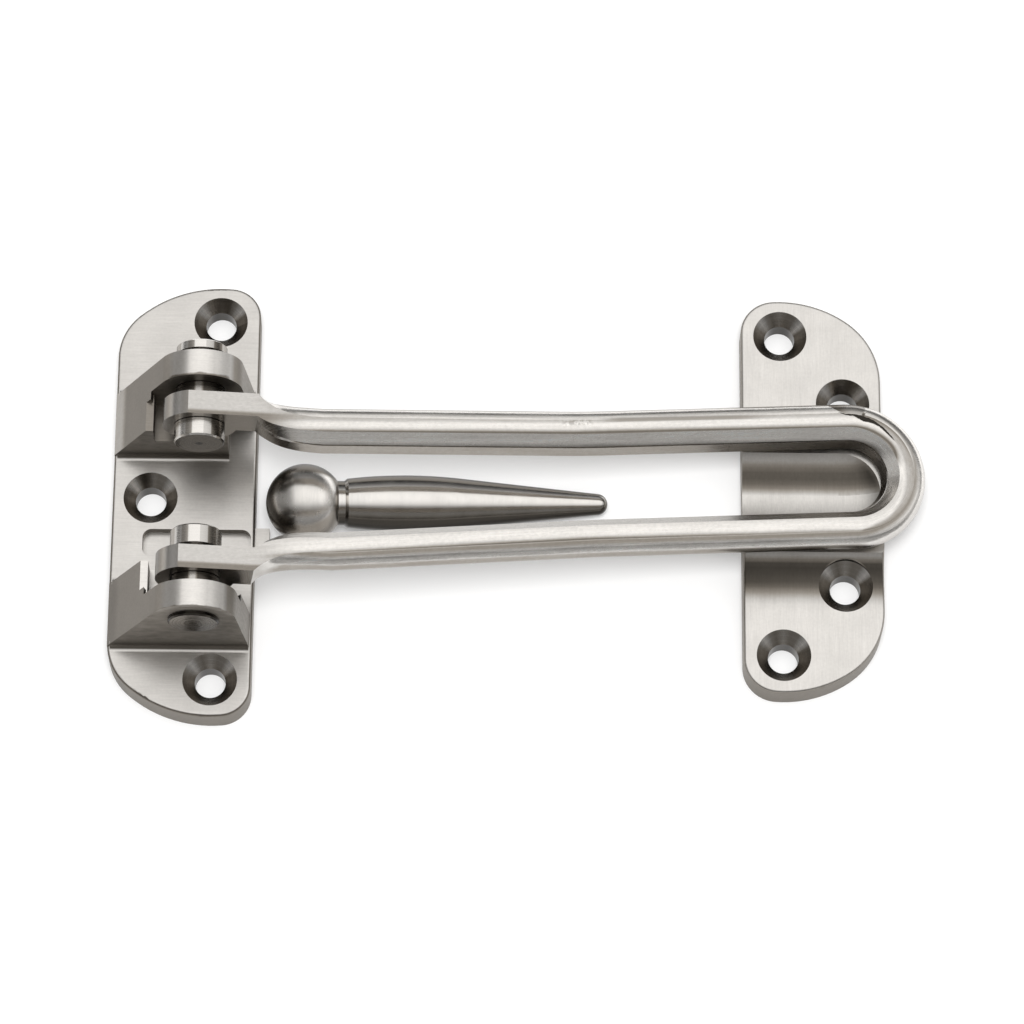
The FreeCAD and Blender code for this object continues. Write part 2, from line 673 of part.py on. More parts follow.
def bar_section(body, name, side, place, share):
    """The bar's section at a place (x, y, turn in plan) on the upper arm (1) or the lower arm (-1). Its
    share goes from the plain blade beside an eye (0) to the arm's grooved section (1)."""
    x, y, turn = place
    sketch = body.newObject("Sketcher::SketchObject", name)
    sketch.AttachmentSupport = [(origin_plane(body, "YZ_Plane"), "")]
    sketch.MapMode = "FlatFace"
    rotation = FreeCAD.Rotation(Vector(0, 1, 0), turn)
    sketch.AttachmentOffset = FreeCAD.Placement(Vector(y, size("eye_flat").value, x), rotation)
    sketch.setExpression("AttachmentOffset.Base.y", size("eye_flat").formula)
    blade, top = size("eye_thick") / 2, size("top_wide") / 2
    facet = top + size("facet_wide")
    lip, foot = facet + size("lip_out"), facet + size("lip_foot")
    groove = facet - size("groove_deep")
    groove_low = size("facet_high") + size("groove_high")
    blade_low, bar_low, bevel = size("blade_high"), size("bar_high"), size("lip_bevel")
    blade_inside = [blade_low, blade_low - bevel, groove_low * 2, size("facet_high") * 2 - bevel,
                    size("facet_high"), as_size(0.0)]
    bar_inside = [(foot - bevel, bar_low), (foot, bar_low - bevel), (lip, groove_low),
                  (groove, groove_low), (facet, size("facet_high")), (top, as_size(0.0))]

    def between(first, last):
        return first * (1 - share) + last * share

    outer_low = between(blade_low, bar_low)
    outer = between(blade, top)
    arc = None
    if share > 0:
        half_high, swell = outer_low / 2, bar_low / 2 * share
        radius = (half_high * half_high / swell + swell) / 2
        arc = Arc((outer + swell - radius) * side, -half_high, radius, -side)
    steps = [(outer * side, as_size(0.0), arc), (outer * side, -outer_low, None)]
    for blade_down, (inward, down) in zip(blade_inside, bar_inside):
        steps.append((-between(blade, inward) * side, -between(blade_down, down), None))
    add_outline(sketch, steps)
    return sketch


# Where the bar turns from a blade into its arm: share of the way, aside and in section
SHOULDER = [(0.0, 0.0), (0.30, 0.68), (0.62, 0.93), (1.0, 1.0)]


def add_arms(body):
    """Both arms and the bend along one path, and the two shoulders that carry the arms to the blades."""
    arms, _ = arm_path()
    path = new_sketch(body, "XY_Plane", "bar_path", size("eye_flat"))
    draw_path(path)
    pipe = None
    blade_end = size("blade_long").value
    for side, (arm_start, waist, _) in zip((1, -1), arms):
        ahead = waist - arm_start
        lean = math.degrees(math.atan2(ahead.y, ahead.x))
        eye_y = side * size("eye_place").value
        stages = []
        for along, share in SHOULDER:
            place = (blade_end + (arm_start.x - blade_end) * along, eye_y + (arm_start.y - eye_y) * share,
                     lean * share)
            stages.append(bar_section(body, "shoulder_section", side, place, share))
        if pipe is None:
            doc.recompute()
            pipe = body.newObject("PartDesign::AdditivePipe", "arms")
            pipe.Profile = bar_section(body, "arm_section", side, (arm_start.x, arm_start.y, lean), 1.0)
            pipe.Spine = (path, ["Edge%d" % (index + 1) for index in range(path.GeometryCount)])
            doc.recompute()
        shoulder = body.newObject("PartDesign::AdditiveLoft", "shoulder")
        shoulder.Profile = stages[0]
        shoulder.Sections = stages[1:]
        doc.recompute()


def swing_bar():
    """The bent bar with an eye at each end, made about its own pin axis and then laid on its slope."""
    body = new_body("swing_bar")
    add_arms(body)
    blade_bottom = size("eye_flat") - size("blade_high")
    for side, eye_round in ((1, size("upper_eye_round")), (-1, size("lower_eye_round"))):
        round_x = -square_leg(eye_round, size("eye_flat"))
        root_x = square_leg(eye_round, blade_bottom)
        eye = side_sketch(body, "eye_side", size("eye_thick") / 2 + size("eye_place") * side)
        add_outline(eye, [
            (round_x, size("eye_flat"), None),
            (size("blade_long"), size("eye_flat"), None),
            (size("blade_long"), blade_bottom, None),
            (root_x, blade_bottom, Arc(0.0, 0.0, eye_round, -1)),
        ])
        pad(body, eye, size("eye_thick"), name="eye")
    bores = side_sketch(body, "eye_bores", eye_outer)
    add_circle(bores, 0.0, 0.0, size("pin_dia") / 2 + size("turn_play"))
    pocket(body, bores, eye_outer * 2, reverse=True, name="eye_bores_cut")
    place = Vector(size("pin_x").value, lug_mid.value, pin_z.value)
    slope = FreeCAD.Rotation(Vector(0, 1, 0), size("bar_slope_angle").value)
    body.Placement = FreeCAD.Placement(place, slope)
    return body


def turned(label, steps, axis="V_Axis"):
    """A turned piece from half its section, about the sketch's upright or level axis."""
    body = new_body(label)
    section = new_sketch(body, "XY_Plane", label + "_section")
    add_outline(section, steps)
    made = body.newObject("PartDesign::Revolution", label + "_turned")
    made.Profile = section
    made.ReferenceAxis = (section, [axis])
    made.Angle = 360
    doc.recompute()
    return body


def on_pin_axis(body, y):
    """Puts a turned piece on the pin axis, its own origin at this Y."""
    body.Placement = FreeCAD.Placement(Vector(size("pin_x").value, y.value, pin_z.value), FreeCAD.Rotation())


def hinge_pin(label, shank_long, head_thick):
    """A pin with a flat round head, its shank running towards -Y from the head's under side."""
    head, shank = size("pin_head_dia") / 2, size("pin_dia") / 2
    edge = size("edge_bevel")
    zero = as_size(0.0)
    return turned(label, [
        (zero, -shank_long, None),
        (shank - edge, -shank_long, None),
        (shank, edge - shank_long, None),
        (shank, zero, None),
        (head, zero, None),
        (head, head_thick - edge, None),
        (head - edge, head_thick, None),
        (zero, head_thick, None),
    ])


def pin_nut(label):
    """A round blind nut on the pin's end, its mouth at its own origin and its end towards -Y."""
    outer, bore = size("nut_dia") / 2, size("pin_dia") / 2 + size("seat_play")
    edge = size("edge_bevel")
    depth = size("nut_long") - size("nut_proud")
    zero = as_size(0.0)
    return turned(label, [
        (zero, -size("nut_long"), None),
        (outer - edge, -size("nut_long"), None),
        (outer, edge - size("nut_long"), None),
        (outer, zero, None),
        (bore, zero, None),
        (bore, -depth, None),
        (zero, -depth, None),
    ])


def pin_spacer(label):
    """A plain ring on the pin between an ear and an eye."""
    outer, bore = size("spacer_dia") / 2, size("pin_dia") / 2 + size("turn_play")
    long = size("ear_inner") - eye_outer - size("side_play") * 2
    zero = as_size(0.0)
    return turned(label, [
        (bore, zero, None),
        (outer, zero, None),
        (outer, long, None),
        (bore, long, None),
    ])


def hinge_hardware():
    """Both pins go in from +Y: the upper one through its ear first, the lower one through its eye first."""
    depth = size("nut_long") - size("nut_proud")
    play = size("side_play")
    upper_head = lug_mid + ear_outer + size("upper_head_gap")
    upper_nut = lug_mid + eye_inner - play
    lower_head = lug_mid - eye_inner + size("lower_head_gap")
    lower_nut = lug_mid - ear_outer + depth
    pieces = []
    for name, head_y, nut_y, spacer_y in (
            ("upper", upper_head, upper_nut, lug_mid + eye_outer + play),
            ("lower", lower_head, lower_nut, lug_mid - size("ear_inner") + play)):
        pin = hinge_pin(name + "_hinge_pin", head_y - nut_y + depth - play, size(name + "_head_thick"))
        on_pin_axis(pin, head_y)
        nut = pin_nut(name + "_pin_nut")
        on_pin_axis(nut, nut_y)
        spacer = pin_spacer(name + "_pin_spacer")
        on_pin_axis(spacer, spacer_y)
        pieces += [pin, nut, spacer]
    return pieces


def ball_stud():
    """The loose ball stud, lying on its ball and on the tip or the belly of its tapered shank."""
    ball = size("ball_dia") / 2
    neck, collar = size("neck_dia") / 2, size("collar_dia") / 2
    belly, tip = size("belly_dia") / 2, size("tip_dia") / 2
    tip_x = size("stud_long") - tip
    swell = belly - collar
    belly_from_collar = size("belly_place") - size("collar_start")
    belly_radius = (belly_from_collar * belly_from_collar / swell + swell) / 2
    taper_touch = tangent_from(Vector(tip_x.value, tip.value, 0),
                               Vector(size("belly_place").value, (belly - belly_radius).value, 0),
                               belly_radius.value, 1)
    zero = as_size(0.0)
    body = turned("ball_stud", [
        (-ball, zero, None),
        (size("stud_long"), zero, Arc(tip_x, zero, tip)),
        (tip_x, tip, None),
        (taper_touch.x, taper_touch.y, Arc(size("belly_place"), belly - belly_radius, belly_radius)),
        (size("collar_start"), collar, None),
        (size("neck_end_x"), neck, None),
        (square_leg(ball, neck), neck, Arc(zero, zero, ball)),
    ], axis="H_Axis")
    on_tip = math.asin((ball.value - tip.value) / tip_x.value)
    middle_x, middle_drop = size("belly_place").value, (belly_radius - belly).value
    rest_high = (ball - belly_radius).value
    on_belly = math.asin(rest_high / math.hypot(middle_x, middle_drop)) + math.atan2(middle_drop, middle_x)
    droop = math.degrees(min(on_tip, on_belly))
    turn = FreeCAD.Rotation(Vector(0, 0, 1), size("stud_turn_angle").value)
    lie = FreeCAD.Rotation(Vector(0, 1, 0), droop)
    place = Vector((half_frame + size("stud_out")).value, -size("stud_y").value, ball.value)
    body.Placement = FreeCAD.Placement(place, turn.multiply(lie))
    return body


def check(bodies):
    """Stops if any object failed or any sub-part has no sound shape."""
    doc.recompute()
    for item in doc.Objects:
        if "Invalid" in item.State or "Error" in item.State:
            raise RuntimeError("%s failed: %s" % (item.Name, item.State))
    for body in bodies:
        if body.Shape.isNull() or not body.Shape.isValid():
            raise RuntimeError("%s has no sound shape" % body.Label)


def main():
    """Builds every sub-part and writes each one to its own file."""
    bodies = [frame_plate(), keeper_plate(), swing_bar(), ball_stud()] + hinge_hardware()
    check(bodies)
    os.makedirs("parts", exist_ok=True)
    for body in bodies:
        body.Shape.exportStep(os.path.join("parts", body.Label + ".step"))
        box = body.Shape.BoundBox
        print("%-18s volume %9.2f  x %7.2f %7.2f  y %7.2f %7.2f  z %6.2f %6.2f  solids %d" % (
            body.Label, body.Shape.Volume, box.XMin, box.XMax, box.YMin, box.YMax, box.ZMin, box.ZMax,
            len(body.Shape.Solids)))


main()
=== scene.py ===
"""Looks of the swing bar door guard: satin and polished stainless steel on a white table.

Metres, in the part's own frame: the origin is the middle of the frame plate's back, +X runs along the
bar to the keeper plate, +Y along the hinge pins and +Z up from the plates' backs. The materials work in
millimetres of the same frame. Left is -X, north +Y and south -Y, towards the viewer.
"""

import math
from collections import namedtuple

import bpy
from mathutils import Matrix, Vector

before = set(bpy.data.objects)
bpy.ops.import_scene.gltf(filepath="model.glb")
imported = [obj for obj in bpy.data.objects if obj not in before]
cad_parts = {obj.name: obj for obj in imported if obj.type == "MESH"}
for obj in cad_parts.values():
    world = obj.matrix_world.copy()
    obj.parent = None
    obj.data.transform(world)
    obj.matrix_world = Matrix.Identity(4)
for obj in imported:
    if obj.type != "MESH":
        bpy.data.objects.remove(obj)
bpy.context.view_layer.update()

# In a metre
MILLIMETRES = 1000.0

# The camera as the photograph was taken, in degrees and metres, with its lens in pixels of a frame 1024
# pixels wide on a sensor 36 mm wide
CAMERA_ELEVATION = 69.08
CAMERA_YAW = -1.29
CAMERA_ROLL = 1.865
CAMERA_DISTANCE = 0.800
CAMERA_AIM = Vector((0.05464, 0.00010, 0.0))
CAMERA_NEAR = 0.01
CAMERA_FAR = 20.0
SENSOR_WIDE = 36.0
FOCAL_PIXELS = 4773.5
FRAME_PIXELS = 1024

# The studio's brightness by degrees above the front horizon, through overhead to the back
SKY_TINT = (1.0, 0.99, 0.975)
SKY_ARC = (
    (0, 0.24), (12, 0.34), (28, 0.32), (41, 0.17), (50, 0.24), (58, 0.48), (66, 0.86), (78, 1.12),
    (92, 1.22), (106, 1.22), (119, 1.14), (131, 0.84), (145, 0.46), (155, 0.22), (166, 0.10), (180, 0.07),
)

# Where that arc comes in from the left and fades at the right, and the most that is left beside it
SKY_LEFT = (-0.70, -0.44)
SKY_RIGHT = (0.80, 0.97)
SKY_SIDE = 0.43

# The table: white to the eye and in the metal, and still shaded by the object
FLOOR_COLOUR = (0.72, 0.72, 0.72, 1.0)
FLOOR_LIFT = 0.25
FLOOR_RADIUS = 6.0
FLOOR_DROP = -0.00002
FLOOR_SIDES = 96

# The soft lamp overhead that draws the shadow on the table
LAMP_PLACE = (0.05, -0.24, 1.18)
LAMP_AIM = (0.05, 0.0, 0.0)
LAMP_WIDE = 0.38
LAMP_POWER = 9.0

# Screw holes as (x, y) in millimetres, the radius of their countersinks and how soft its edge is
FRAME_HOLES = ((-5.6, 0.0), (5.2, 31.85), (5.2, -31.85))
KEEPER_HOLES = ((99.6, 30.5), (99.6, -26.5), (110.0, 18.3), (110.0, -14.3))
SINK_RADIUS = 4.75
SINK_SOFT = 0.12

# The hinge pins' line and the bar's bend, in millimetres and degrees
PIN_X = 3.0
PIN_Z = 18.5
BAR_LEAN = 4.75
BEND_X = 111.3
BEND_Y = 3.47
BEND_ROUND = 9.25

# Past this place, in millimetres back from the bend, the arms spread by this share of the way
SPREAD_FROM = -46.0
SPREAD = 0.030

# Below, a name that ends in UP, RIGHT, NORTH or SOUTH holds the range of the surface's own direction
# along that axis, from -1 to 1, over which something comes in. LEVEL is a brightness, SHARE a factor on
# one, ROUGH a roughness, GRAIN a noise's cells in a millimetre and DEPTH the metres that a noise is
# worth. A curve's stops are pairs of a place or a direction and a level or share. The levels and shares
# that follow a surface's direction or place are painted reflection and shade in the steel's colour;
# those that follow a noise are its grain.

# The steel's tint, as green and blue over red, where it is dark and where it is pale
DARK_LEVEL = 0.10
PALE_LEVEL = 0.58
DARK_TINT = (0.895, 0.765)
PALE_TINT = (0.970, 0.930)

# How far from a half most of a noise lies, and how far most of the brushing does
NOISE_REACH = 0.20
BRUSHED_REACH = 0.25

# The plates: painted reflection and shade on faces that look up, slopes and upright sides
FRAME_LEVEL = 0.645
KEEPER_LEVEL = 0.71
FRAME_SLOPE_LEVEL = 0.19
KEEPER_SLOPE_LEVEL = 0.36
SIDE_LEVEL = 0.20
FACE_UP = (0.80, 0.95)
SLOPE_UP = (0.10, 0.60)
PLATE_ROUGH = (0.29, 0.38)
SLOPE_ROUGHER = 0.12
PLATE_DEPTH = 0.000003

# The plates' brushing by axis, as a grain along it and a grain across it, and their clouds and specks
ALONG_X = 0
ALONG_Y = 1
FINE_GRAINS = (0.45, 8.0)
FINE_SHARE = (0.94, 1.06)
STREAK_GRAINS = (0.14, 2.6)
STREAK_SHARE = (0.955, 1.045)
CLOUD_GRAIN = 0.20
CLOUD_SHARE = (0.95, 1.05)
SPECK_GRAIN = 2.2
SPECK_SHARE = (0.97, 1.03)

# The countersinks: turned cones with painted highlight wedges, painted shade in their bores, and a
# rim painted darker this far inside the radius
CONE_UP = (0.97, 0.90)
CONE_HIGHLIGHT_WEDGES = (
    (-180, 0.16), (-160, 0.20), (-146, 0.80), (-126, 0.30), (-108, 0.26), (-90, 0.38), (-70, 0.24),
    (-56, 0.36), (-40, 0.80), (-22, 0.30), (-8, 0.18), (40, 0.16), (62, 0.30), (84, 0.78), (96, 0.78),
    (118, 0.30), (140, 0.16), (180, 0.15),
)
CONE_ROUGH = 0.26
RING_GRAIN = 6.0
RING_SHARE = (0.80, 1.20)
RING_HEIGHT = 2.0
BORE_UP = (0.25, 0.45)
BORE_SHADE_SHARE = 0.12
RIM_START = 0.35
RIM_END = 0.10
RIM_SHADE_SHARE = 0.55

# The lugs: heights where they start, their brushing, and painted shade and light on their left slopes,
# darker on the lower lug
LUG_HEIGHT = (7.0, 9.0)
LUG_GRAINS = (0.5, 3.0, 0.9)
LUG_SHARE = (0.82, 1.22)
LUG_SLOPE_UP = (0.66, 0.56)
LUG_SLOPE_RIGHT = (-0.6, -0.8)
LOWER_TO_UPPER_LUG = (-5.0, 5.0)
LUG_SLOPE_SHADE_SHARES = (0.78, 2.1)

# The ears' round tops: painted reflection from left to right
EAR_UP = (0.2, 0.4)
EAR_NORTH_OR_SOUTH = (0.30, 0.10)
EAR_REFLECTION_BANDS = (
    (-1.0, 0.18), (-0.86, 0.19), (-0.74, 0.29), (-0.60, 0.48), (-0.38, 0.50), (-0.30, 0.56), (-0.22, 0.74),
    (0.03, 0.79), (0.20, 0.74), (0.36, 0.60), (0.50, 0.68), (0.72, 0.68), (0.82, 0.30), (0.92, 0.19),
    (1.0, 0.17),
)

# The painted shade along the south edges of those tops, from the ears' south faces on
UPPER_EAR_FRONT = 13.9
LOWER_EAR_FRONT = -26.5
EAR_EDGE_WIDE = 0.5
EAR_EDGE_UP = (0.60, 0.80)
EAR_EDGE_SHADE_SHARE = 0.35
RAGGED_GRAIN = 0.6
RAGGED_REACH = 0.15
RAGGED_WIDE = 0.2

# Ends that look south, and a painted highlight on the ears' brow, by height and distance from the pins' line
END_SOUTH = (-0.80, -0.92)
BROW_DISTANCE = (5.4, 6.6)
BROW_HEIGHT = (PIN_Z + 1.0, PIN_Z + 3.5)
BROW_HIGHLIGHT_SHARE = 1.35

# The keeper plate's hollows: painted dark reflection as shares by direction in the channel, and painted
# shade and reflection by place south of the bar
HOLLOW_UP = (0.80, 0.88)
CHANNEL_REFLECTION_SHARES = (
    (-0.55, 1.0), (-0.49, 1.0), (-0.45, 0.80), (-0.40, 0.42), (-0.36, 0.26), (-0.30, 0.155), (-0.22, 0.135),
    (-0.15, 0.18), (-0.09, 0.30), (-0.04, 0.58), (0.01, 0.96), (0.05, 1.0), (0.10, 1.0),
)
SOUTH_SHADE_SHARES = (
    (-18.6, 1.0), (-17.6, 0.95), (-16.7, 0.76), (-15.5, 0.38), (-14.5, 0.19), (-13.5, 0.115), (-12.2, 0.08),
    (-11.3, 0.07), (-10.5, 0.10), (-9.9, 0.35), (-9.3, 0.9), (-8.6, 1.0),
)
CHANNEL_START = (-8.6, -8.5)
CHANNEL_END = (8.8, 8.9)

# Where the lower arm gives way to the upper, in millimetres across the bend, and where the looks of the
# top and the wear do so, by the side from -1 to 1
ARMS_APART = (-5.0, 5.0)
UPPER_SIDE = (-0.3, 0.3)
WORN_SIDE = (0.0, 0.3)

# The bar's flat top: painted reflection, as shares from its north edge to its south edge, in millimetres
# from the middle
TOP_LEVEL = 0.82
TOP_UP = (0.982, 0.990)
TOP_NORTH_OR_SOUTH = (0.08, 0.04)
TOP_SHARES = (
    (-1.6, 0.78), (-1.25, 0.84), (-0.9, 0.93), (-0.2, 1.0), (0.25, 0.97), (0.5, 0.86), (0.75, 0.62),
    (0.98, 0.38), (1.10, 0.20), (1.30, 0.20), (1.6, 0.4),
)
LOWER_TOP_SHIFT = 0.24
UPPER_EDGE = (-0.95, -0.25)
UPPER_EDGE_SHARE = 0.68

# Round the bend the painted reflection on the top turns grey past this line, in millimetres outward plus
# one, by the way along
GREY_PATH = (
    (-4.0, 4.2), (-1.0, 3.0), (0.7, 2.0), (2.5, 1.5), (5.1, 1.3), (7.5, 0.9), (10.0, 0.7), (14.6, 0.35),
)
GREY_START = (-1.5, -0.8)
GREY_ACROSS = (-0.6, 1.3)
GREY_REFLECTION_SHARES = (0.64, 0.40)

# Painted reflection and shade on the bar's slanted sides, rounds and uprights, by how far they look up:
# south, north and round the bend
FRONT_REFLECTION_LEVELS = (
    (0.0, 0.30), (0.25, 0.32), (0.45, 0.37), (0.56, 0.66), (0.64, 1.0), (0.78, 1.0), (0.87, 0.84),
    (0.91, 0.48), (0.95, 0.28), (0.985, 0.25), (1.0, 0.8),
)
BACK_REFLECTION_LEVELS = (
    (0.0, 0.24), (0.40, 0.28), (0.60, 0.42), (0.67, 0.54), (0.74, 0.84), (0.80, 1.0), (0.95, 0.98),
    (1.0, 0.75),
)
BEND_REFLECTION_LEVELS = (
    (0.0, 0.45), (0.50, 0.68), (0.72, 0.92), (0.84, 0.86), (0.92, 0.50), (0.97, 0.36), (1.0, 0.40),
)

# Where north gives way to south, which swings by this share of the way right past this direction, and
# where both give way to the bend's round
FRONT_NORTH = (0.03, -0.03)
FRONT_SWINGS_FROM = 0.16
FRONT_SWINGS_BY = 0.35
BEND_RIGHT = (0.15, 0.28)

# The painted shade on the lip under the upper arm's groove
LIP_SOUTHWARD = (2.35, 3.25)
LIP_UP = (0.48, 0.56)
LIP_SHADE_SHARE = 0.25

# The bar's eyes: their tops, painted greyer and with painted shade at their south edges, and painted
# reflection on their round ends from left to right
EYE_TOP_END = (12.0, 22.0)
UPPER_EYE_EDGE = (7.7, 8.7)
LOWER_EYE_EDGE = (-18.8, -17.9)
EYE_TOP_SHADE_SHARES = (0.70, 0.30)
EYE_ROUND_END = (6.0, 4.0)
EYE_NORTH_OR_SOUTH = (0.40, 0.15)
EYE_REFLECTION_BANDS = ((-1.0, 0.42), (-0.75, 0.45), (-0.50, 0.58), (-0.28, 0.64), (-0.20, 1.0), (1.0, 1.0))

# The bar's grinding by the way along, outward and its side, which starts past the eyes, and fine lines
GROUND_GRAINS = (0.09, 2.0, 3.0)
GROUND_START = (9.0, 13.0)
GROUND_SHARE = (0.90, 1.07)
GROUND_HEIGHT = 7.0
LINE_GRAINS = (0.6, 8.0, 8.0)
LINE_SHARE = (0.94, 1.06)
BAR_SPECK_GRAIN = 1.6
BAR_SPECK_SHARE = (0.95, 1.04)
BAR_ROUGH = (0.21, 0.31)
BAR_DEPTH = 0.0000035

# The crease on the bend's shoulder: its line outward plus one and its half width, by the way along
CREASE_PATH = (
    (-3.6, 3.7), (-3.0, 3.5), (-1.7, 2.5), (-0.6, 2.0), (0.7, 1.90), (1.4, 1.68), (2.5, 1.47), (3.85, 1.40),
    (5.1, 1.27), (6.3, 1.05), (7.5, 0.85), (9.0, 0.80),
)
CREASE_WIDE = (
    (-2.0, 0.02), (-0.6, 0.04), (0.7, 0.12), (1.4, 0.30), (2.2, 0.42), (3.8, 0.25), (5.0, 0.16), (7.4, 0.12),
    (9.0, 0.03),
)
CREASE_RAGGED = (0.94, 1.06)
CREASE_RUN = (-2.0, -1.0, 7.6, 8.9)
CREASE_SOFT = 0.06
# The painted shade in the crease and the tick, and the height of their dent
CUT_SHADE_LEVEL = 0.035
CUT_HEIGHT = 30.0

# The filed patch that the crease bounds, which gets paler along it
PATCH_PAST = (0.05, 0.2)
PATCH_RUN = (-3.4, -3.0, 2.2, 2.4)
PATCH_PALER = (-2.2, 0.6)
PATCH_LEVELS = (0.22, 0.46)

# The small slanted tick beside the crease, along the bar and outward
TICK_SLANT = 0.25
TICK_RUN = (1.65, 1.80, 1.95, 2.15)
TICK_ACROSS = (0.5, 0.7, 1.3, 1.9)
TICK_STRENGTH = 0.8

# The smear and the casting flaw on the upper arm, along the bar and outward
SMEAR_RUN = (-43.0, -38.0, -20.0, -11.0)
SMEAR_ACROSS = (0.45, 0.72, 1.15, 1.55)
SMEAR_STRENGTH = 0.80
SMEAR_LEVEL = 0.29
FLAW_RUN = (-48.5, -47.0, -44.0, -42.5)
FLAW_ACROSS = (0.0, 0.3, 0.9, 1.2)
FLAW_SPECKS = (0.42, 0.58)
FLAW_SHARES = (0.72, 1.10)

# The stud: where the ball ends, and painted reflection and shade on its top and its sides, darker to the
# north
STUD_NECK = 26.0
STUD_NECK_SOFT = 0.5
STUD_TOP_LEVEL = 0.74
STUD_SIDE_LEVEL = 0.09
BALL_SIDE_LEVEL = 0.22
STUD_UP = (0.50, 0.74)
STUD_SIDE_UP = (0.45, 0.20)
STUD_NORTH = (0.42, 0.58)
STUD_NORTH_SHADE_SHARES = (0.22, 0.8)
SHANK_SOUTH = (-0.60, -0.38)
SHANK_SOUTH_SHADE_SHARE = 0.50
BALL_REFLECTION_BANDS = ((-1.0, 0.55), (-0.5, 0.62), (-0.2, 0.90), (0.0, 1.0), (0.35, 1.0), (0.65, 1.35), (1.0, 1.35))

# The stud's finish
TURNING_GRAINS = (7.0, 0.35, 0.35)
TURNING_SHARE = (0.97, 1.03)
STUD_CLOUD_GRAIN = 0.35
STUD_CLOUD_SHARE = (0.94, 1.05)
STUD_ROUGH = (0.13, 0.21)
BALL_ROUGHER = 0.09
STUD_DEPTH = 0.000002

# The nuts' painted reflection across their round sides, in crisp bands
PIN_REFLECTION_BANDS = (
    (-1.0, 0.30), (-0.80, 0.34), (-0.78, 0.55), (-0.52, 0.52), (-0.49, 0.34), (-0.26, 0.36), (-0.23, 0.78),
    (0.20, 0.78), (0.23, 0.58), (0.50, 0.54), (0.53, 0.20), (0.80, 0.16), (0.84, 0.45), (1.0, 0.30),
)

# The same across the spacers, painted as in shade, with painted light only along their crown
SPACER_SHADE_BANDS = ((-1.0, 0.06), (-0.22, 0.08), (-0.12, 0.50), (0.06, 0.50), (0.18, 0.08), (1.0, 0.06))

# The turned pieces' undersides in painted shade, their ends in dark painted reflection, each with a
# painted dark dimple in the middle, and their finish
UNDERSIDE_UP = (0.0, 0.5)
UNDERSIDE_SHADE_SHARE = 0.4
END_REFLECTION_LEVEL = (0.10, 0.15)
DIMPLE_DISTANCE = (0.35, 1.0)
DIMPLE_SHADE_SHARE = 0.20
PIN_RING_GRAIN = 5.0
PIN_RING_SHARE = (0.93, 1.06)
PIN_ROUGH = (0.22, 0.30)
PIN_DEPTH = 0.000004

# The lower pin's end, sunk in its ear: painted shade on its side, and painted light on its face that is
# brighter higher up
SUNK_PLACE = (LOWER_EAR_FRONT + 1.0, LOWER_EAR_FRONT + 0.4)
SUNK_SIDE_SHADE_SHARE = 0.10
SUNK_HEIGHT = (PIN_Z - 2.5, PIN_Z + 2.8)
SUNK_LIGHT_SHARES = (0.9, 2.2)

# Coordinates, and a point's place on the bar as bar_field gives it
Axes = namedtuple("Axes", "x y z")
BarPlace = namedtuple("BarPlace", "run across side upper southward")


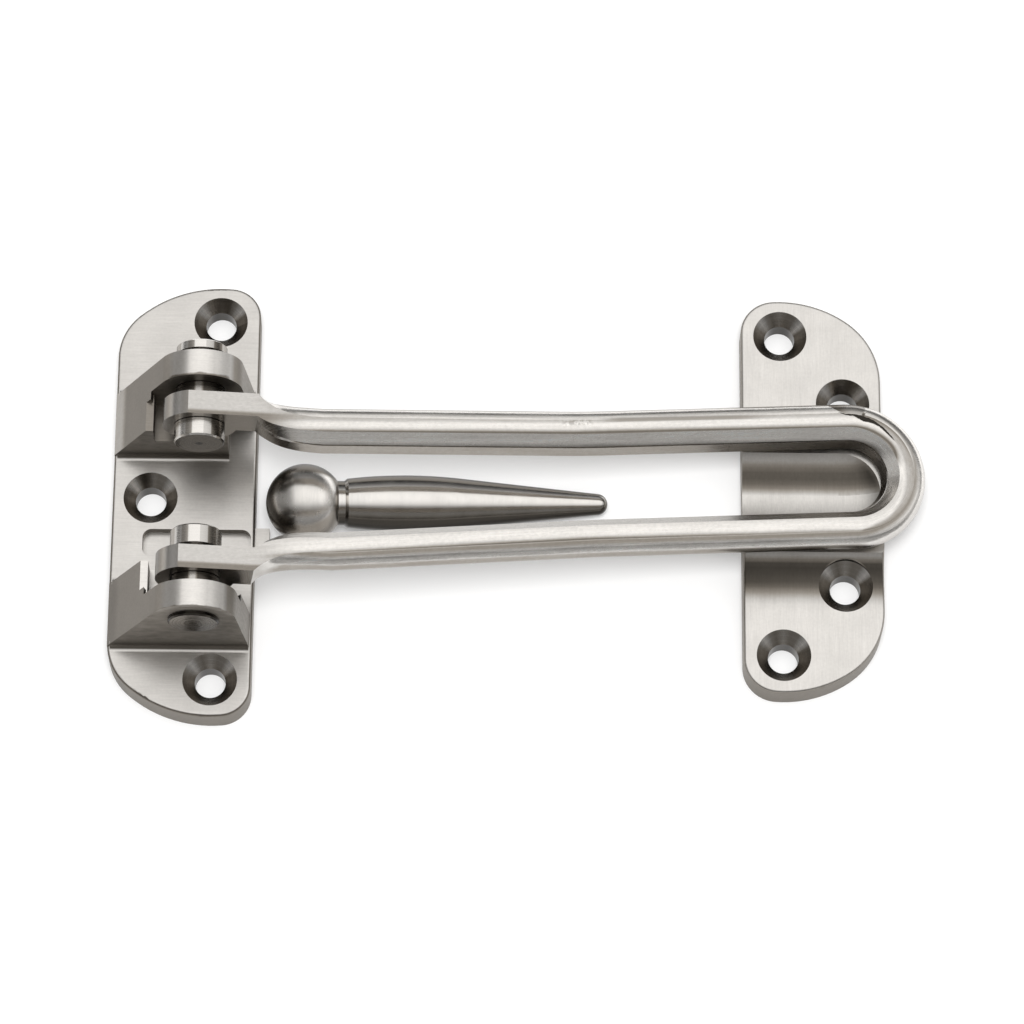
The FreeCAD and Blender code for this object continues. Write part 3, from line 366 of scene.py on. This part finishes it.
class Nodes:
    """One material's or world's node tree. Its methods add nodes and return their outputs."""

    def __init__(self, tree):
        self.tree = tree
        self.tree.nodes.clear()

    def feed(self, socket, value):
        """Links a socket to this input, or writes a plain value on it."""
        if isinstance(value, bpy.types.NodeSocket):
            self.tree.links.new(value, socket)
        else:
            socket.default_value = value

    def add(self, kind, output=0, values=None, **settings):
        """A node of this kind with its settings and its input values or links; returns one output."""
        node = self.tree.nodes.new(kind)
        for name, value in settings.items():
            setattr(node, name, value)
        for name, value in (values or {}).items():
            self.feed(node.inputs[name], value)
        return node.outputs[output] if node.outputs else node

    def math(self, operation, *values):
        """Arithmetic on numbers or sockets."""
        return self.add("ShaderNodeMath", values=dict(enumerate(values)), operation=operation)

    def vector(self, operation, *values, output="Vector"):
        """Vector arithmetic."""
        return self.add("ShaderNodeVectorMath", output=output, values=dict(enumerate(values)),
                        operation=operation)

    def product(self, *values):
        """All the numbers multiplied together."""
        total = values[0]
        for value in values[1:]:
            total = self.math("MULTIPLY", total, value)
        return total

    def parts(self, vector):
        """A vector's three coordinates, as Axes."""
        node = self.tree.nodes.new("ShaderNodeSeparateXYZ")
        self.feed(node.inputs["Vector"], vector)
        return Axes(*node.outputs)

    def joined(self, x, y, z):
        """A vector from three coordinates."""
        return self.add("ShaderNodeCombineXYZ", values={"X": x, "Y": y, "Z": z})

    def scaled(self, vector, scale):
        """A vector times one number or times one number for each axis."""
        sizes = (scale, scale, scale) if isinstance(scale, float) else scale
        return self.vector("MULTIPLY", vector, sizes)

    def place(self):
        """The point's place in the part's frame, in millimetres."""
        return self.scaled(self.add("ShaderNodeTexCoord", output="Object"), MILLIMETRES)

    def facing(self):
        """The surface's own direction in the part's frame, as Axes."""
        return self.parts(self.add("ShaderNodeTexCoord", output="Normal"))

    def noise(self, vector, scale=1.0, detail=2.0):
        """Smooth noise from 0 to 1."""
        return self.add("ShaderNodeTexNoise", values={"Vector": vector, "Scale": scale, "Detail": detail})

    def span(self, value, low, high, to_low=0.0, to_high=1.0, smooth=True):
        """A number carried from one range to another and held inside it."""
        kind = "SMOOTHSTEP" if smooth else "LINEAR"
        return self.add("ShaderNodeMapRange", values={
            "Value": value, "From Min": low, "From Max": high, "To Min": to_low, "To Max": to_high},
            interpolation_type=kind, clamp=True)

    def eased(self, factor, start, end):
        """A number that goes gently from start to end as the factor goes from 0 to 1."""
        return self.span(factor, 0.0, 1.0, start, end)

    def varied(self, noise, low, high, reach=NOISE_REACH):
        """A number between low and high that follows a noise within this reach of a half."""
        return self.span(noise, 0.5 - reach, 0.5 + reach, low, high, smooth=False)

    def band(self, value, start, full_start, full_end, end):
        """One inside a range and zero outside, with a soft edge at each side."""
        return self.product(self.span(value, start, full_start), self.span(value, full_end, end, 1.0, 0.0))

    def mixed(self, factor, a, b):
        """A number between two numbers."""
        node = self.tree.nodes.new("ShaderNodeMix")
        self.feed(node.inputs[0], factor)
        self.feed(node.inputs[2], a)
        self.feed(node.inputs[3], b)
        return node.outputs[0]

    def curve(self, value, stops):
        """A number read off a curve of (value, level) stops."""
        low, high = stops[0][0], stops[-1][0]
        peak = max(level for stop, level in stops)
        node = self.tree.nodes.new("ShaderNodeValToRGB")
        self.feed(node.inputs[0], self.span(value, low, high, smooth=False))
        marks = node.color_ramp.elements
        while len(marks) < len(stops):
            marks.new(0.5)
        for mark, (stop, level) in zip(marks, stops):
            mark.position = (stop - low) / (high - low)
            mark.color = (level / peak, level / peak, level / peak, 1.0)
        return self.product(node.outputs[0], peak)

    def tinted(self, level):
        """The steel's colour at this brightness: near white where it is pale, browner where it is dark."""
        green, blue = (self.span(level, DARK_LEVEL, PALE_LEVEL, dark, pale)
                       for dark, pale in zip(DARK_TINT, PALE_TINT))
        return self.joined(level, self.product(level, green), self.product(level, blue))

    def bump(self, height, distance):
        """The surface's direction, tilted by a height of so many metres."""
        return self.add("ShaderNodeBump", values={"Height": height, "Distance": distance, "Strength": 1.0})


def new_material(name):
    """An empty node material."""
    material = bpy.data.materials.new(name)
    material.use_nodes = True
    return material, Nodes(material.node_tree)


def finish_steel(nodes, level, rough, height, depth):
    """The metal shader from a brightness, a roughness and a grain height."""
    shader = nodes.add("ShaderNodeBsdfPrincipled", values={
        "Base Color": nodes.tinted(level), "Metallic": 1.0, "Roughness": rough,
        "Normal": nodes.bump(height, depth)})
    nodes.add("ShaderNodeOutputMaterial", values={"Surface": shader})


def hole_distance(nodes, place, holes):
    """The distance in millimetres from the nearest hole's axis."""
    flat = nodes.scaled(place, (1.0, 1.0, 0.0))
    nearest = None
    for x, y in holes:
        distance = nodes.vector("DISTANCE", flat, (x, y, 0.0), output="Value")
        nearest = distance if nearest is None else nodes.math("MINIMUM", nearest, distance)
    return nearest


def pin_distance(nodes, place):
    """The distance in millimetres from the hinge pins' line."""
    at = nodes.parts(place)
    return nodes.vector("DISTANCE", nodes.joined(at.x, 0.0, at.z), (PIN_X, 0.0, PIN_Z), output="Value")


def front_edges(nodes, from_y, y, upper, lower):
    """One at the south edges of the upper and the lower piece, falling to zero over these ranges of y."""
    north = nodes.product(nodes.span(from_y, *upper, 1.0, 0.0), nodes.span(y, 0.0, 1.0))
    return nodes.math("MAXIMUM", north, nodes.span(from_y, *lower, 1.0, 0.0))


def brushed(nodes, place, axis, grains, detail):
    """Noise drawn out along one axis, as brushing leaves it, from a grain along it and one across it."""
    along, across = grains
    scale = [across, across, across]
    scale[axis] = along
    return nodes.noise(nodes.scaled(place, tuple(scale)), detail=detail)


def turned_cone(nodes, from_hole, facing):
    """A turned countersink: painted highlight wedges, painted shade in its bore and rim, and its rings."""
    turn = nodes.math("DEGREES", nodes.math("ARCTAN2", facing.y, facing.x))
    rings = nodes.noise(nodes.joined(nodes.product(from_hole, RING_GRAIN), 0.0, 0.0))
    bore = nodes.span(facing.z, *BORE_UP, BORE_SHADE_SHARE, 1.0)
    rim = nodes.span(from_hole, SINK_RADIUS - RIM_START, SINK_RADIUS - RIM_END, 1.0, RIM_SHADE_SHARE)
    return nodes.product(nodes.curve(turn, CONE_HIGHLIGHT_WEDGES), nodes.varied(rings, *RING_SHARE), bore, rim), rings


def plate_steel(name, grain_axis, holes, face_level, slope_level, shade):
    """Satin stamped plate, brushed, with painted reflection: pale faces, greyer slopes, dark countersinks.
    """
    material, nodes = new_material(name)
    place = nodes.place()
    facing = nodes.facing()
    grain = brushed(nodes, place, grain_axis, FINE_GRAINS, detail=3.0)
    streaks = brushed(nodes, place, grain_axis, STREAK_GRAINS, detail=2.0)
    clouds = nodes.noise(place, scale=CLOUD_GRAIN, detail=4.0)
    specks = nodes.noise(place, scale=SPECK_GRAIN, detail=3.0)

    # Painted reflection by direction: pale faces, greyer slopes and dark upright sides
    up = nodes.span(facing.z, *FACE_UP)
    slope = nodes.span(facing.z, *SLOPE_UP, SIDE_LEVEL, slope_level)
    level = shade(nodes, place, facing, nodes.mixed(up, slope, face_level))
    level = nodes.product(level, nodes.varied(grain, *FINE_SHARE, reach=BRUSHED_REACH),
                          nodes.varied(streaks, *STREAK_SHARE, reach=BRUSHED_REACH),
                          nodes.varied(clouds, *CLOUD_SHARE), nodes.varied(specks, *SPECK_SHARE))

    from_hole = hole_distance(nodes, place, holes)
    sink = nodes.product(nodes.span(from_hole, SINK_RADIUS, SINK_RADIUS - SINK_SOFT),
                         nodes.span(facing.z, *CONE_UP))
    cone, rings = turned_cone(nodes, from_hole, facing)
    satin = nodes.math("ADD", nodes.varied(grain, *PLATE_ROUGH), nodes.eased(up, SLOPE_ROUGHER, 0.0))
    height = nodes.mixed(sink, grain, nodes.product(rings, RING_HEIGHT))
    finish_steel(nodes, nodes.mixed(sink, level, cone), nodes.mixed(sink, satin, CONE_ROUGH), height,
                 PLATE_DEPTH)
    return material


def ear_tops(nodes, place, facing):
    """Painted reflection on the ears' round tops: bright along the crown, shaded along the south edge."""
    at = nodes.parts(place)
    ragged = nodes.varied(nodes.noise(place, scale=RAGGED_GRAIN), 0.0, RAGGED_WIDE, reach=RAGGED_REACH)
    edge = front_edges(nodes, nodes.math("SUBTRACT", at.y, ragged), at.y,
                       (UPPER_EAR_FRONT, UPPER_EAR_FRONT + EAR_EDGE_WIDE),
                       (LOWER_EAR_FRONT, LOWER_EAR_FRONT + EAR_EDGE_WIDE))
    edge = nodes.product(edge, nodes.span(facing.z, *EAR_EDGE_UP))
    return nodes.product(nodes.curve(facing.x, EAR_REFLECTION_BANDS), nodes.eased(edge, 1.0, EAR_EDGE_SHADE_SHARE))


def shade_lugs(nodes, place, facing, level):
    """The lugs: roughly brushed, with painted light and shade on left slopes, ears' tops and brows."""
    at = nodes.parts(place)
    raised = nodes.span(at.z, *LUG_HEIGHT)
    grain = nodes.noise(nodes.scaled(place, LUG_GRAINS), detail=3.0)
    level = nodes.mixed(raised, level, nodes.product(level, nodes.varied(grain, *LUG_SHARE)))
    # Painted shade and light on the left slopes, darker on the lower lug
    sloping = nodes.product(nodes.span(facing.z, *LUG_SLOPE_UP), nodes.span(facing.x, *LUG_SLOPE_RIGHT))
    slope_share = nodes.span(at.y, *LOWER_TO_UPPER_LUG, *LUG_SLOPE_SHADE_SHARES)
    level = nodes.product(level, nodes.mixed(sloping, 1.0, slope_share))
    rounded = nodes.product(raised, nodes.span(nodes.math("ABSOLUTE", facing.y), *EAR_NORTH_OR_SOUTH),
                            nodes.span(facing.z, *EAR_UP))
    level = nodes.mixed(rounded, level, ear_tops(nodes, place, facing))
    # A painted highlight on the ears' brow
    brow = nodes.product(nodes.span(facing.y, *END_SOUTH),
                         nodes.span(pin_distance(nodes, place), *BROW_DISTANCE),
                         nodes.span(at.z, *BROW_HEIGHT))
    return nodes.product(level, nodes.eased(brow, 1.0, BROW_HIGHLIGHT_SHARE))


def shade_keeper(nodes, place, facing, level):
    """The keeper plate's hollows, with painted dark bands of reflection and shade where they lean south."""
    at = nodes.parts(place)
    channel = nodes.mixed(nodes.span(at.y, *CHANNEL_END), nodes.curve(facing.y, CHANNEL_REFLECTION_SHARES), 1.0)
    share = nodes.mixed(nodes.span(at.y, *CHANNEL_START), nodes.curve(at.y, SOUTH_SHADE_SHARES), channel)
    return nodes.product(level, nodes.mixed(nodes.span(facing.z, *HOLLOW_UP), 1.0, share))


def bar_field(nodes, place):
    """Where a point lies on the bar, as a BarPlace in millimetres.

    Its run is the way along from the bend's start, across is outward from the middle of the flat top
    and southward is the same distance counted to the south. Its side is 1 on the upper arm and -1 on
    the lower, and upper is 1 and 0; both change smoothly round the bend.
    """
    lean = math.radians(BAR_LEAN)
    moved = nodes.vector("SUBTRACT", place, (BEND_X, BEND_Y, 0.0))
    along = nodes.vector("DOT_PRODUCT", moved, (math.cos(lean), math.sin(lean), 0.0), output="Value")
    aside = nodes.vector("DOT_PRODUCT", moved, (-math.sin(lean), math.cos(lean), 0.0), output="Value")
    past = nodes.math("MAXIMUM", along, 0.0)
    reach = nodes.math("SQRT", nodes.math("ADD", nodes.product(past, past), nodes.product(aside, aside)))
    spread = nodes.product(nodes.math("MAXIMUM", nodes.math("SUBTRACT", SPREAD_FROM, along), 0.0), SPREAD)
    across = nodes.math("SUBTRACT", nodes.math("SUBTRACT", reach, BEND_ROUND), spread)
    turned = nodes.product(nodes.math("ARCTAN2", past, nodes.math("ABSOLUTE", aside)), BEND_ROUND)
    run = nodes.math("ADD", nodes.math("MINIMUM", along, 0.0), turned)
    side = nodes.span(aside, *ARMS_APART, -1.0, 1.0)
    return BarPlace(run, across, side, nodes.span(side, *UPPER_SIDE), nodes.product(across, side, -1.0))


def bar_top(nodes, place, spot):
    """The painted reflection on the bar's flat top: pale on the arms, grey round the bend and on the eyes.
    """
    at = nodes.parts(place)
    shifted = nodes.math("SUBTRACT", spot.southward, nodes.mixed(spot.upper, LOWER_TOP_SHIFT, 0.0))
    edge = nodes.span(spot.southward, *UPPER_EDGE, UPPER_EDGE_SHARE, 1.0)
    flat = nodes.product(nodes.curve(shifted, TOP_SHARES), nodes.mixed(spot.upper, 1.0, edge))
    grey = nodes.math("SUBTRACT", spot.across, nodes.curve(spot.run, GREY_PATH))
    greyer = nodes.span(spot.across, *GREY_ACROSS, *GREY_REFLECTION_SHARES, smooth=False)
    flat = nodes.product(flat, nodes.mixed(nodes.span(grey, *GREY_START), 1.0, greyer))
    # Painted grey tops on the eyes, with painted shade at their south edges
    eye_edge = front_edges(nodes, at.y, at.y, UPPER_EYE_EDGE, LOWER_EYE_EDGE)
    return nodes.mixed(nodes.span(at.x, *EYE_TOP_END), nodes.eased(eye_edge, *EYE_TOP_SHADE_SHARES), flat)


def bar_sides(nodes, facing, spot):
    """Painted reflection and shade on the bar's slanted sides, rounds and uprights, by the way they look."""
    swung = nodes.product(nodes.math("MAXIMUM", nodes.math("SUBTRACT", facing.x, FRONT_SWINGS_FROM), 0.0),
                          FRONT_SWINGS_BY)
    away = nodes.math("SUBTRACT", facing.y, swung)
    # Painted shade on the lip under the upper arm's groove
    lip = nodes.product(spot.upper, nodes.span(spot.southward, *LIP_SOUTHWARD),
                        nodes.span(facing.z, *LIP_UP))
    front = nodes.product(nodes.curve(facing.z, FRONT_REFLECTION_LEVELS), nodes.mixed(lip, 1.0, LIP_SHADE_SHARE))
    sides = nodes.mixed(nodes.span(away, *FRONT_NORTH), nodes.curve(facing.z, BACK_REFLECTION_LEVELS), front)
    return nodes.mixed(nodes.span(facing.x, *BEND_RIGHT), sides, nodes.curve(facing.z, BEND_REFLECTION_LEVELS))


def bend_wear_and_shade(nodes, spot, level, speck):
    """The filed patch, and the crease and tick on the bend's shoulder with painted shade and their depth."""
    worn = nodes.span(spot.side, *WORN_SIDE)
    path = nodes.math("SUBTRACT", nodes.curve(spot.run, CREASE_PATH), nodes.varied(speck, *CREASE_RAGGED))
    past = nodes.math("SUBTRACT", spot.across, path)
    patch = nodes.product(worn, nodes.span(past, *PATCH_PAST), nodes.band(spot.run, *PATCH_RUN))
    level = nodes.mixed(patch, level, nodes.mixed(nodes.span(spot.run, *PATCH_PALER), *PATCH_LEVELS))
    apart = nodes.math("SUBTRACT", nodes.math("ABSOLUTE", past), nodes.curve(spot.run, CREASE_WIDE))
    crease = nodes.product(worn, nodes.span(apart, CREASE_SOFT, -CREASE_SOFT),
                           nodes.band(spot.run, *CREASE_RUN))
    slanted = nodes.math("SUBTRACT", spot.run, nodes.product(spot.across, TICK_SLANT))
    tick = nodes.product(worn, nodes.band(slanted, *TICK_RUN), nodes.band(spot.across, *TICK_ACROSS))
    cut = nodes.math("MAXIMUM", crease, nodes.product(tick, TICK_STRENGTH))
    return nodes.mixed(cut, level, CUT_SHADE_LEVEL), cut


def arm_wear(nodes, spot, level, speck):
    """A long smear and a casting flaw on the upper arm."""
    worn = nodes.span(spot.side, *WORN_SIDE)
    smear = nodes.product(worn, nodes.band(spot.run, *SMEAR_RUN), nodes.band(spot.across, *SMEAR_ACROSS))
    level = nodes.mixed(nodes.product(smear, SMEAR_STRENGTH), level, SMEAR_LEVEL)
    flaw = nodes.product(worn, nodes.band(spot.run, *FLAW_RUN), nodes.band(spot.across, *FLAW_ACROSS))
    spotted = nodes.product(level, nodes.span(speck, *FLAW_SPECKS, *FLAW_SHARES))
    return nodes.mixed(flaw, level, spotted)


def bar_steel():
    """The hand-ground bar with painted reflection: a bright flat along its top, greyer rounds, dark sides.
    """
    material, nodes = new_material("polished_bar_steel")
    place = nodes.place()
    facing = nodes.facing()
    at = nodes.parts(place)
    north_or_south = nodes.math("ABSOLUTE", facing.y)
    spot = bar_field(nodes, place)
    ground = nodes.noise(nodes.scaled(nodes.joined(spot.run, spot.across, spot.side), GROUND_GRAINS),
                         detail=4.0)
    ground = nodes.mixed(nodes.span(at.x, *GROUND_START), 0.5, ground)
    lines = nodes.noise(nodes.scaled(nodes.joined(spot.run, spot.across, at.z), LINE_GRAINS), detail=3.0)
    speck = nodes.noise(place, scale=BAR_SPECK_GRAIN, detail=4.0)

    top = nodes.product(bar_top(nodes, place, spot), TOP_LEVEL)
    up = nodes.product(nodes.span(facing.z, *TOP_UP), nodes.span(north_or_south, *TOP_NORTH_OR_SOUTH))
    level = nodes.mixed(up, bar_sides(nodes, facing, spot), top)
    # Painted reflection bands round the eyes' ends
    around = nodes.product(nodes.span(at.x, *EYE_ROUND_END),
                           nodes.span(north_or_south, *EYE_NORTH_OR_SOUTH))
    level = nodes.mixed(around, level, nodes.product(level, nodes.curve(facing.x, EYE_REFLECTION_BANDS)))
    level = nodes.product(level, nodes.varied(ground, *GROUND_SHARE),
                          nodes.varied(lines, *LINE_SHARE, reach=BRUSHED_REACH),
                          nodes.varied(speck, *BAR_SPECK_SHARE))
    level, cut = bend_wear_and_shade(nodes, spot, level, speck)
    level = arm_wear(nodes, spot, level, speck)
    height = nodes.math("ADD", nodes.product(ground, GROUND_HEIGHT), lines)
    height = nodes.math("SUBTRACT", height, nodes.product(cut, CUT_HEIGHT))
    finish_steel(nodes, level, nodes.varied(ground, *BAR_ROUGH), height, BAR_DEPTH)
    return material


def stud_steel():
    """The turned ball stud: polished, with painted reflection by direction and faint rings round its axis.
    """
    material, nodes = new_material("polished_stud_steel")
    place = nodes.place()
    at = nodes.parts(place)
    facing = nodes.facing()
    rings = nodes.noise(nodes.scaled(place, TURNING_GRAINS))
    clouds = nodes.noise(place, scale=STUD_CLOUD_GRAIN, detail=4.0)
    ball = nodes.span(at.x, STUD_NECK, STUD_NECK - STUD_NECK_SOFT)
    # Painted reflection and shade: bright top, dark sides, darker to the north and on the shank's south side
    side_level = nodes.mixed(ball, STUD_SIDE_LEVEL, BALL_SIDE_LEVEL)
    north_share = nodes.mixed(nodes.span(facing.z, *STUD_SIDE_UP), *STUD_NORTH_SHADE_SHARES)
    south = nodes.span(facing.y, *SHANK_SOUTH, SHANK_SOUTH_SHADE_SHARE, 1.0)
    level = nodes.product(nodes.span(facing.z, *STUD_UP, side_level, STUD_TOP_LEVEL),
                          nodes.span(facing.y, *STUD_NORTH, 1.0, north_share),
                          nodes.mixed(ball, south, 1.0))
    level = nodes.mixed(ball, level, nodes.product(level, nodes.curve(facing.x, BALL_REFLECTION_BANDS)))
    level = nodes.product(level, nodes.varied(rings, *TURNING_SHARE),
                          nodes.varied(clouds, *STUD_CLOUD_SHARE))
    rough = nodes.math("ADD", nodes.varied(clouds, *STUD_ROUGH), nodes.eased(ball, 0.0, BALL_ROUGHER))
    finish_steel(nodes, level, rough, rings, STUD_DEPTH)
    return material


def pin_steel(name, bands):
    """Turned pins, nuts and spacers: rings on their ends, painted reflection bands and painted shade."""
    material, nodes = new_material(name)
    place = nodes.place()
    at = nodes.parts(place)
    facing = nodes.facing()
    from_axis = pin_distance(nodes, place)
    rings = nodes.noise(nodes.scaled(nodes.joined(from_axis, at.y, 0.0), PIN_RING_GRAIN))
    sunk = nodes.span(at.y, *SUNK_PLACE)
    side = nodes.product(nodes.curve(facing.x, bands),
                         nodes.span(facing.z, *UNDERSIDE_UP, UNDERSIDE_SHADE_SHARE, 1.0),
                         nodes.eased(sunk, 1.0, SUNK_SIDE_SHADE_SHARE))
    dimple = nodes.math("MAXIMUM", nodes.span(from_axis, *DIMPLE_DISTANCE, DIMPLE_SHADE_SHARE, 1.0), sunk)
    lit = nodes.mixed(sunk, 1.0, nodes.span(at.z, *SUNK_HEIGHT, *SUNK_LIGHT_SHARES))
    end = nodes.product(nodes.varied(rings, *END_REFLECTION_LEVEL), dimple, lit)
    level = nodes.mixed(nodes.span(facing.y, *END_SOUTH), side, end)
    level = nodes.product(level, nodes.varied(rings, *PIN_RING_SHARE))
    finish_steel(nodes, level, nodes.varied(rings, *PIN_ROUGH), rings, PIN_DEPTH)
    return material


def floor_material():
    """White table: it keeps the object's shadow, and lifts to white for the camera and in the metal."""
    material, nodes = new_material("table_white")
    seen = nodes.add("ShaderNodeLightPath", output="Is Camera Ray")
    for ray in ("Is Glossy Ray", "Is Transmission Ray"):
        seen = nodes.math("MAXIMUM", seen, nodes.add("ShaderNodeLightPath", output=ray))
    lift = nodes.add("ShaderNodeEmission", values={
        "Color": (1.0, 1.0, 1.0, 1.0), "Strength": nodes.product(seen, FLOOR_LIFT)})
    matt = nodes.add("ShaderNodeBsdfDiffuse", values={"Color": FLOOR_COLOUR})
    both = nodes.add("ShaderNodeAddShader", values={0: matt, 1: lift})
    nodes.add("ShaderNodeOutputMaterial", values={"Surface": both})
    return material


def make_floor():
    """A wide round table top at the plates' backs."""
    mesh = bpy.data.meshes.new("table")
    turns = [2 * math.pi * index / FLOOR_SIDES for index in range(FLOOR_SIDES)]
    ring = [(math.cos(turn) * FLOOR_RADIUS, math.sin(turn) * FLOOR_RADIUS, FLOOR_DROP) for turn in turns]
    mesh.from_pydata(ring, [], [list(range(FLOOR_SIDES))])
    table = bpy.data.objects.new("table", mesh)
    bpy.context.scene.collection.objects.link(table)
    mesh.materials.append(floor_material())


def make_sky():
    """A studio's light tent: a bright band overhead, dim towards the horizons and the sides."""
    world = bpy.data.worlds.new("tent")
    bpy.context.scene.world = world
    world.use_nodes = True
    nodes = Nodes(world.node_tree)
    ahead = nodes.parts(nodes.add("ShaderNodeTexCoord", output="Generated"))
    turn = nodes.math("ARCTAN2", ahead.z, nodes.product(ahead.y, -1.0))
    arc = nodes.curve(nodes.math("DEGREES", turn), SKY_ARC)
    middle = nodes.product(nodes.span(ahead.x, *SKY_LEFT), nodes.span(ahead.x, *SKY_RIGHT, 1.0, 0.0))
    strength = nodes.mixed(middle, nodes.math("MINIMUM", arc, SKY_SIDE), arc)
    background = nodes.add("ShaderNodeBackground", values={"Color": (*SKY_TINT, 1.0), "Strength": strength})
    nodes.add("ShaderNodeOutputWorld", values={"Surface": background})


def make_lamp():
    """A square soft box that draws shadows on the table and isn't mirrored in the metal."""
    data = bpy.data.lights.new("overhead", "AREA")
    data.shape = "SQUARE"
    data.size = LAMP_WIDE
    data.energy = LAMP_POWER
    lamp = bpy.data.objects.new("overhead", data)
    bpy.context.scene.collection.objects.link(lamp)
    lamp.location = LAMP_PLACE
    lamp.rotation_mode = "QUATERNION"
    lamp.rotation_quaternion = (Vector(LAMP_AIM) - Vector(LAMP_PLACE)).to_track_quat("-Z", "Y")
    lamp.visible_glossy = False


def make_camera():
    """The photograph's camera, its axes turned from the viewing angles."""
    data = bpy.data.cameras.new("camera")
    camera = bpy.data.objects.new("camera", data)
    bpy.context.scene.collection.objects.link(camera)
    bpy.context.scene.camera = camera
    elevation, yaw, roll = (math.radians(angle) for angle in (CAMERA_ELEVATION, CAMERA_YAW, CAMERA_ROLL))
    right = Vector((math.cos(yaw), math.sin(yaw), 0))
    forward = Vector((-math.sin(yaw) * math.cos(elevation), math.cos(yaw) * math.cos(elevation),
                      -math.sin(elevation)))
    up = right.cross(forward)
    right, up = (math.cos(roll) * right + math.sin(roll) * up, math.cos(roll) * up - math.sin(roll) * right)
    turn = Matrix((right, up, -forward)).transposed()
    camera.matrix_world = Matrix.Translation(CAMERA_AIM - CAMERA_DISTANCE * forward) @ turn.to_4x4()
    data.sensor_width = SENSOR_WIDE
    data.lens = FOCAL_PIXELS / FRAME_PIXELS * SENSOR_WIDE
    data.clip_start = CAMERA_NEAR
    data.clip_end = CAMERA_FAR


def dress():
    """Gives every CAD node its steel."""
    plate = plate_steel("satin_plate_steel", ALONG_X, FRAME_HOLES, FRAME_LEVEL, FRAME_SLOPE_LEVEL,
                        shade_lugs)
    keeper = plate_steel("satin_keeper_steel", ALONG_Y, KEEPER_HOLES, KEEPER_LEVEL, KEEPER_SLOPE_LEVEL,
                         shade_keeper)
    turned = pin_steel("turned_pin_steel", PIN_REFLECTION_BANDS)
    # The spacers get a copy of the pin steel painted in shade
    spacer = pin_steel("shaded_spacer_steel", SPACER_SHADE_BANDS)
    wearing = {"frame_plate": plate, "keeper_plate": keeper, "swing_bar": bar_steel(),
               "ball_stud": stud_steel(), "upper_pin_spacer": spacer, "lower_pin_spacer": spacer}
    for name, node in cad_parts.items():
        node.data.materials.clear()
        node.data.materials.append(wearing.get(name, turned))


make_camera()
make_floor()
make_sky()
make_lamp()
dress()

bpy.context.scene.view_settings.view_transform = "Standard"
